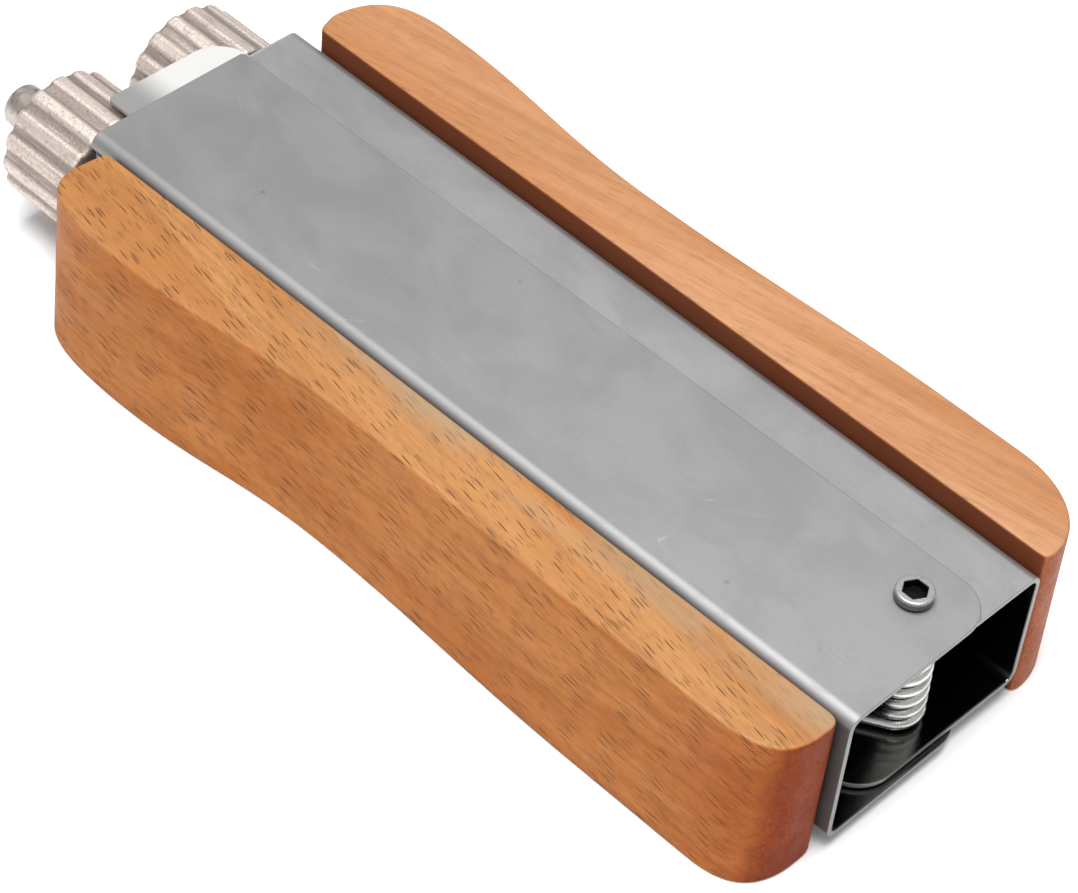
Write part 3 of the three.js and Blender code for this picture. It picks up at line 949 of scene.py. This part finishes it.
def beech(name, side, tone, end_tone, inner_painted_shade, steel_reflection, figure):
    """Oiled beech: short dark flecks along the grain on a warm ground, redder on the sides and the end grain.
    side is +1 for the handle at +Y. tone tints it, end_tone tints its end grain, inner_painted_shade paints
    shade on the inner face, steel_reflection paints a reflection of the steel as a grey band on the top near
    the steel towards the rear, and figure is how strongly the flecks show."""
    wood = Finish(name)
    x, y, _ = wood.axes()
    along, outward, up = wood.axes("Normal")
    drift = GRAIN_DRIFT * side
    shift = (3.1 * side, 1.7 * side, 0.4)
    broad = wood.noise(wood.grain(60, 7, 7, turn=drift, shift=shift), detail=2.0)
    streak = wood.noise(wood.grain(26, 1.1, 1.1, turn=drift, shift=shift), detail=4.0, rough=0.6)
    fibre = wood.noise(wood.grain(4, 0.15, 0.15, turn=drift, shift=shift), detail=2.0)
    ripple = wood.noise(wood.grain(1.6, 4.5, 4.5, turn=12 * side, shift=shift), detail=3.0, rough=0.6)

    pale = tinted((0.335, 0.158, 0.044), tone)
    warm = tinted((0.29, 0.118, 0.026), tone)
    ground = wood.blend(wood.span(broad, 0.38, 0.62), pale, warm)
    streaked = wood.span(streak, 0.42, 0.68, 0.0, 0.3 + 0.2 * figure)
    ground = wood.blend(streaked, ground, tinted(warm, 0.66))
    ground = wood.blend(wood.span(fibre, 0.45, 0.75, 0.0, 0.3), ground, tinted(warm, 0.5))
    ground = wood.blend(wood.span(ripple, 0.5, 0.75, 0.0, 0.2), ground, tinted(warm, 0.7))

    facing_up = wood.span(up, 0.35, 0.8)
    side_tint = wood.blend(facing_up, (1.11, 0.93, 0.80), (1.0, 1.0, 1.0))
    ground = wood.blend(1.0, ground, side_tint, "MULTIPLY")
    by_the_end = wood.span(x, *frame_x(26.0, 2.0))
    redder = wood.times(by_the_end, wood.rest(facing_up))
    ground = wood.blend(redder, ground, wood.blend(1.0, ground, (0.88, 0.70, 0.60), "MULTIPLY"))
    end_grain = wood.span(wood.math("ABSOLUTE", along), 0.45, 0.95)
    pores = wood.noise(wood.grain(4, 0.35, 0.35, shift=shift), detail=3.0, rough=0.7)
    end_color = wood.blend(wood.span(pores, 0.35, 0.65), end_tone, tinted(end_tone, 0.64))
    ground = wood.blend(end_grain, ground, wood.blend(1.0, ground, end_color, "MULTIPLY"))
    # painted shade: the inner face, beside the steel, is darkened towards a deep brown
    inner = wood.span(wood.times(outward, -float(side)), 0.7, 0.95, 0.0, inner_painted_shade)
    ground = wood.blend(inner, ground, (0.13, 0.031, 0.013))

    marks = []
    for length, width, reach, strength, least, most in FLECKS:
        skin = wood.unrolled(length, width, side, shift=(length, width * side, 0.3))
        distance, chance = wood.cells(skin, flat=True)
        dash = wood.span(distance, reach, reach * 0.55)
        marks.append(wood.times(dash, wood.span(chance, least, most), strength))
    flecks = wood.times(wood.most(*marks), wood.rest(wood.times(end_grain, 0.85)), figure)
    color = wood.blend(flecks, ground, (0.105, 0.036, 0.011))

    # painted reflection of the steel: a patchy grey band on the top near the steel, towards the rear
    if steel_reflection:
        near_steel = wood.span(y, *frame_y(WALL + 6.5, WALL + 1.0))
        rearward = wood.span(x, *frame_x(112, 84))
        patchy = wood.span(wood.noise(wood.grain(16, 4, 4)), 0.3, 0.62)
        painted_steel_reflection = wood.times(near_steel, rearward, patchy, facing_up, steel_reflection)
        color = wood.blend(painted_steel_reflection, color, (0.285, 0.19, 0.105))

    grooves = wood.math("SUBTRACT", wood.times(fibre, 0.5), flecks)
    normal = wood.bump(grooves, 0.05)
    wavy = wood.noise(wood.grain(14, 5, 5), detail=2.0)
    normal = wood.bump(wavy, 0.08, under=normal)
    rough = wood.span(wood.noise(wood.grain(9, 3, 3)), 0.3, 0.7, 0.46, 0.6)
    gloss = wood.span(facing_up, 0.0, 1.0, 0.10, 0.36, smooth=False)
    return wood.finish(color, rough, normal, **{"Specular IOR Level": gloss})


def sheet_steel(name, tone, polished_from=None):
    """Satin cold-rolled sheet: faint smudges, rolling lines along the tool, a few scratches and specks. Its
    inner faces are smooth and darkened as painted shade, and its walls carry painted shade near the rear end.
    Forward of polished_from it is polished, its far half with a painted highlight."""
    steel = Finish(name)
    x, y, z = steel.axes()
    _, outward, up = steel.axes("Normal")
    smudge = steel.noise(steel.grain(16, 11, 11, turn=20), detail=4.0, rough=0.55, bend=0.5)
    blotch = steel.noise(steel.grain(5, 4, 4), detail=4.0, rough=0.65, bend=0.8)
    rolled = steel.noise(steel.grain(30, 0.12, 0.12), detail=2.0)
    grit = steel.noise(steel.grain(0.5, 0.25, 0.25), detail=3.0, rough=0.7)
    darker = tinted((0.505, 0.500, 0.498), tone)
    lighter = tinted((0.555, 0.548, 0.545), tone)
    color = steel.blend(steel.span(smudge, 0.35, 0.65), darker, lighter)
    stain = steel.times(steel.span(blotch, 0.52, 0.78), 0.26)
    color = steel.blend(stain, color, (0.19, 0.185, 0.18))
    color = steel.blend(steel.span(rolled, 0.3, 0.7, 0.0, 0.1), color, (0.23, 0.23, 0.235))
    color = steel.blend(steel.span(grit, 0.45, 0.8, 0.0, 0.14), color, (0.17, 0.17, 0.17))
    specks, chance = steel.cells(steel.grain(7, 7, 7))
    spots = steel.times(steel.span(specks, 0.075, 0.03), steel.span(chance, 0.55, 0.6), 0.35)
    color = steel.blend(spots, color, (0.12, 0.118, 0.115))

    scratches = []
    for turn, length, width in ((28, 40, 1.6), (-35, 30, 1.9), (8, 50, 2.3)):
        wander = steel.noise(steel.grain(length, width, width, turn=turn, shift=(turn, 0, 0)), detail=0.0)
        line = steel.span(steel.math("ABSOLUTE", steel.math("SUBTRACT", wander, 0.5)), 0.005, 0.0)
        gate = steel.span(steel.noise(steel.grain(14, 9, 9, shift=(turn, turn, 0)), detail=1.0), 0.62, 0.7)
        scratches.append(steel.times(line, gate))
    scratch = steel.most(*scratches)
    color = steel.blend(steel.times(scratch, 0.25), color, (0.62, 0.62, 0.62))

    rough = steel.span(smudge, 0.3, 0.7, 0.56, 0.60)
    rough = steel.math("ADD", rough, steel.times(stain, 0.3))
    middle = row_frame((0, 0, HEIGHT / 2))
    turned_out = steel.math(
        "ADD",
        steel.times(steel.math("SUBTRACT", y, middle.y), outward),
        steel.times(steel.math("SUBTRACT", z, middle.z), up),
    )
    # painted shade: the faces turned into the channel are darkened near black, and made smoother
    inside_painted_shade = steel.span(turned_out, 2 * MM, -2 * MM)
    color = steel.blend(inside_painted_shade, color, (0.14, 0.138, 0.132))
    rough = steel.math("MULTIPLY", rough, steel.span(inside_painted_shade, 0.0, 1.0, 1.0, 0.28, smooth=False))
    # painted shade: the outside of the walls is darkened near the rear end
    walls = steel.span(steel.math("ABSOLUTE", outward), 0.9, 0.98, 0.0, 0.72)
    rear_end = steel.span(x, *frame_x(12.0, 5.0))
    painted_wall_shade = steel.times(walls, rear_end, steel.rest(inside_painted_shade))
    color = steel.blend(painted_wall_shade, color, (0.09, 0.083, 0.078))
    metal = 1.0
    if polished_from is not None:
        bright = steel.span(x, *frame_x(polished_from - 0.8, polished_from + 0.6))
        # painted highlight: the far half of the polished part is near white, its near half grey
        painted_highlight_half = steel.span(y, *frame_y(8.0, 1.0))
        color = steel.blend(bright, color, steel.blend(painted_highlight_half, (0.40, 0.395, 0.385), (0.95, 0.93, 0.90)))
        rough = steel.math("MULTIPLY", rough, steel.span(bright, 0.0, 1.0, 1.0, 0.46, smooth=False))
        metal = steel.span(bright, 0.0, 1.0, 1.0, 0.72, smooth=False)
    height = steel.math("ADD", steel.times(rolled, 0.35), steel.times(grit, 0.5))
    normal = steel.bump(steel.math("SUBTRACT", height, steel.times(scratch, 0.5)), 0.004)
    normal = steel.bump(smudge, 0.006, under=normal)
    return steel.finish(color, rough, normal, metal=metal)


def wheel_metal(name, y_spot, z_spot):
    """Cast, plated wheels: a grainy warm grey, dull and darker down in the grooves, rubbed on the crests."""
    cast = Finish(name)
    _, y, z = cast.axes()
    radius = cast.distance(y, z, (y_spot, z_spot))
    crest = cast.span(radius, (WHEEL_RADIUS - TOOTH_DEPTH) * MM, (WHEEL_RADIUS - 0.1) * MM)
    grit = cast.noise(cast.grain(0.5, 0.5, 0.5), detail=4.0, rough=0.7)
    patch = cast.noise(cast.grain(4.5, 2.2, 2.2), detail=3.0, rough=0.6, bend=0.5)
    drag = cast.noise(cast.grain(9, 0.35, 0.35), detail=2.0)
    color = cast.blend(crest, (0.31, 0.258, 0.228), (0.64, 0.545, 0.49))
    color = cast.blend(cast.span(patch, 0.42, 0.7, 0.0, 0.4), color, (0.42, 0.345, 0.305))
    color = cast.blend(cast.span(grit, 0.48, 0.72, 0.0, 0.6), color, (0.17, 0.14, 0.125))
    color = cast.blend(cast.span(drag, 0.5, 0.7, 0.0, 0.25), color, (0.84, 0.78, 0.73))
    rough = cast.span(grit, 0.3, 0.7, 0.42, 0.62)
    height = cast.math("ADD", grit, cast.times(drag, 0.6))
    normal = cast.bump(height, 0.11)
    return cast.finish(color, rough, normal, metal=0.85)


def pivot_metal(name):
    """The pivot screw: a grey rim round a socket painted black inside as shade, its side painted dark as a
    reflection of the plate.
    """
    metal = Finish(name)
    x, y, z = metal.axes()
    spot = row_frame((PIVOT_X, PIVOT_Y, HEIGHT + GAP + PIVOT_HEAD_HEIGHT))
    radius = metal.distance(x, y, spot)
    grit = metal.noise(metal.grain(0.3, 0.3, 0.3), detail=3.0)
    color = metal.blend(metal.span(grit, 0.4, 0.75), (0.50, 0.50, 0.495), (0.30, 0.295, 0.29))
    # painted reflection: the head's side is darkened as a reflection of the plate
    side = metal.span(z, spot.z - 0.25 * MM, spot.z - 0.6 * MM, 0.0, 0.85)
    color = metal.blend(side, color, (0.10, 0.098, 0.095))
    # painted shade: the socket and everything within it are painted near black
    socket = metal.span(radius, 1.85 * MM, 1.78 * MM)
    below_face = metal.span(z, spot.z + 0.01 * MM, spot.z - 0.1 * MM)
    within = metal.span(radius, 1.5 * MM, 1.45 * MM)
    painted_socket_shade = metal.most(metal.times(socket, below_face), within)
    color = metal.blend(painted_socket_shade, color, (0.012, 0.012, 0.012))
    rough = metal.span(grit, 0.3, 0.7, 0.3, 0.42)
    return metal.finish(color, rough, metal.bump(grit, 0.02), metal=0.9)


def turned_metal(name, color, dark, rough, grit_size, depth):
    """Plated or blackened steel of a small fitting: fine grit and soft mottling."""
    metal = Finish(name)
    mottle = metal.noise(metal.grain(1.6, 1.6, 1.6), detail=4.0, rough=0.6, bend=0.4)
    grit = metal.noise(metal.grain(grit_size, grit_size, grit_size), detail=3.0)
    shade = metal.blend(metal.span(mottle, 0.4, 0.7), color, dark)
    shade = metal.blend(metal.span(grit, 0.55, 0.75, 0.0, 0.35), shade, tinted(dark, 0.6))
    gloss = metal.span(mottle, 0.3, 0.7, rough - 0.05, rough + 0.08)
    return metal.finish(shade, gloss, metal.bump(grit, depth), metal=0.95)


def wire_metal(name):
    """Drawn spring wire: bright, with faint lines round the coil."""
    wire = Finish(name)
    drawn = wire.noise(wire.grain(2.0, 2.0, 0.12), detail=3.0)
    tint = wire.noise(wire.grain(3.0, 3.0, 1.5), detail=2.0)
    color = wire.blend(wire.span(tint, 0.35, 0.65), (0.70, 0.69, 0.67), (0.52, 0.51, 0.49))
    rough = wire.span(drawn, 0.3, 0.7, 0.20, 0.32)
    return wire.finish(color, rough, wire.bump(drawn, 0.02), metal=1.0)


def dress(piece, material):
    piece.data.materials.clear()
    piece.data.materials.append(material)


# ---- the tool ----

def make_tool():
    outer, inner = make_channels()
    left_handle, right_handle = make_handles()
    dress(outer, sheet_steel("outer_sheet", 0.58))
    dress(inner, sheet_steel("inner_sheet", 0.66, polished_from=LENGTH))
    tones = {"tone": (1.15, 1.10, 1.20), "end_tone": (0.74, 0.37, 0.07)}
    dress(left_handle, beech("left_beech", 1, **tones, inner_painted_shade=0.5, steel_reflection=0.85, figure=1.0))
    tones = {"tone": (1.25, 1.30, 2.2), "end_tone": (1.0, 0.92, 1.2)}
    dress(right_handle, beech("right_beech", -1, **tones, inner_painted_shade=0.9, steel_reflection=0.0, figure=0.3))

    zinc = turned_metal("zinc", (0.66, 0.65, 0.63), (0.46, 0.45, 0.43), 0.34, 0.25, 0.02)
    dull = turned_metal("dull_steel", (0.48, 0.43, 0.39), (0.24, 0.205, 0.18), 0.42, 0.3, 0.04)
    bright = turned_metal("bright_steel", (0.72, 0.71, 0.69), (0.55, 0.54, 0.52), 0.26, 0.2, 0.01)

    dress(make_pivot_screw(), pivot_metal("pivot_steel"))
    dress(make_pivot_nut(), zinc)
    dress(make_spring(), wire_metal("drawn_wire"))
    # Side, jaw, jaw for what is made for +Y, the wheel's place, its screw's head and its tooth phase.
    sides = (
        ("left", LEFT, LEFT, LEFT_AXLE_Y, LEFT_HEAD, 0.0),
        ("right", RIGHT, RIGHT @ MIRROR, RIGHT_AXLE_Y, RIGHT_HEAD, 0.5),
    )
    for side, jaw, turned_jaw, y, head, phase in sides:
        body = side + "_jaw"
        for end, x in SCREW_X.items():
            dress(make_handle_screw(f"{side}_handle_screw_{end}", x, turned_jaw, body), zinc)
        dress(make_axle_screw(side + "_axle_screw", y, head, jaw, body), dull)
        dress(make_axle_nut(side + "_axle_nut", y, jaw, body), zinc)
        dress(make_bush(side + "_axle_bush", y, jaw, body), bright)
        dress(make_washer(side + "_rear_washer", y, LENGTH + GAP, jaw, body), zinc)
        dress(make_washer(side + "_front_washer", y, WHEEL_FRONT + GAP, jaw, body), zinc)
        wheel = make_wheel(side, y, phase, jaw)
        middle = row_frame(((WHEEL_REAR + WHEEL_FRONT) / 2, y, AXLE_Z), jaw)
        dress(wheel, wheel_metal(side + "_cast", middle.y, middle.z))


# ---- floor, light and camera ----

def make_floor():
    size = 3.0
    mesh = bpy.data.meshes.new("floor")
    corners = [(-size, -size, 0.0), (size, -size, 0.0), (size, size, 0.0), (-size, size, 0.0)]
    mesh.from_pydata(corners, [], [(0, 1, 2, 3)])
    floor = bpy.data.objects.new("floor", mesh)
    floor.location.z = cad_box[0].z
    bpy.context.scene.collection.objects.link(floor)
    paper = Finish("pale_paper")
    tint = paper.noise(paper.grain(90, 90, 90), detail=2.0)
    color = paper.blend(tint, (0.90, 0.90, 0.90), (0.93, 0.93, 0.93))
    mesh.materials.append(paper.finish(color, 0.85, **{"Specular IOR Level": 0.1}))


def make_light():
    """An even pale room and one soft lamp overhead."""
    world = bpy.data.worlds.new("soft_room")
    bpy.context.scene.world = world
    world.use_nodes = True
    backdrop = world.node_tree.nodes["Background"]
    backdrop.inputs["Color"].default_value = (0.96, 0.98, 1.0, 1.0)
    backdrop.inputs["Strength"].default_value = 0.62
    lamp = bpy.data.lights.new("overhead", "AREA")
    lamp.shape = "DISK"
    lamp.size = 0.55
    lamp.energy = 9.0
    light = bpy.data.objects.new("overhead", lamp)
    centre = (cad_box[0] + cad_box[1]) / 2
    place = centre + Vector((-0.05, 0.10, 0.75))
    light.location = place
    light.rotation_euler = (centre - place).to_track_quat("-Z", "Y").to_euler()
    bpy.context.scene.collection.objects.link(light)
    bpy.context.scene.view_settings.view_transform = "Standard"


def make_camera():
    """Looks down over the tool's rear left corner, rolled a little, as a hand-held close-up is."""
    data = bpy.data.cameras.new("camera")
    data.sensor_fit = "HORIZONTAL"
    data.sensor_width = 36.0
    data.lens = 114.8
    data.clip_start = 0.01
    data.clip_end = 20.0
    camera = bpy.data.objects.new("camera", data)
    place = row_frame((-141.18, 250.99, 339.29))
    right = Vector((-0.7093, -0.7006, 0.0781))
    up = Vector((0.5429, -0.4722, 0.6945))
    turn = Matrix((right, up, right.cross(up))).transposed()
    camera.matrix_world = Matrix.Translation(place) @ turn.to_4x4()
    bpy.context.scene.collection.objects.link(camera)
    bpy.context.scene.camera = camera


make_camera()
make_tool()
make_floor()
make_light()
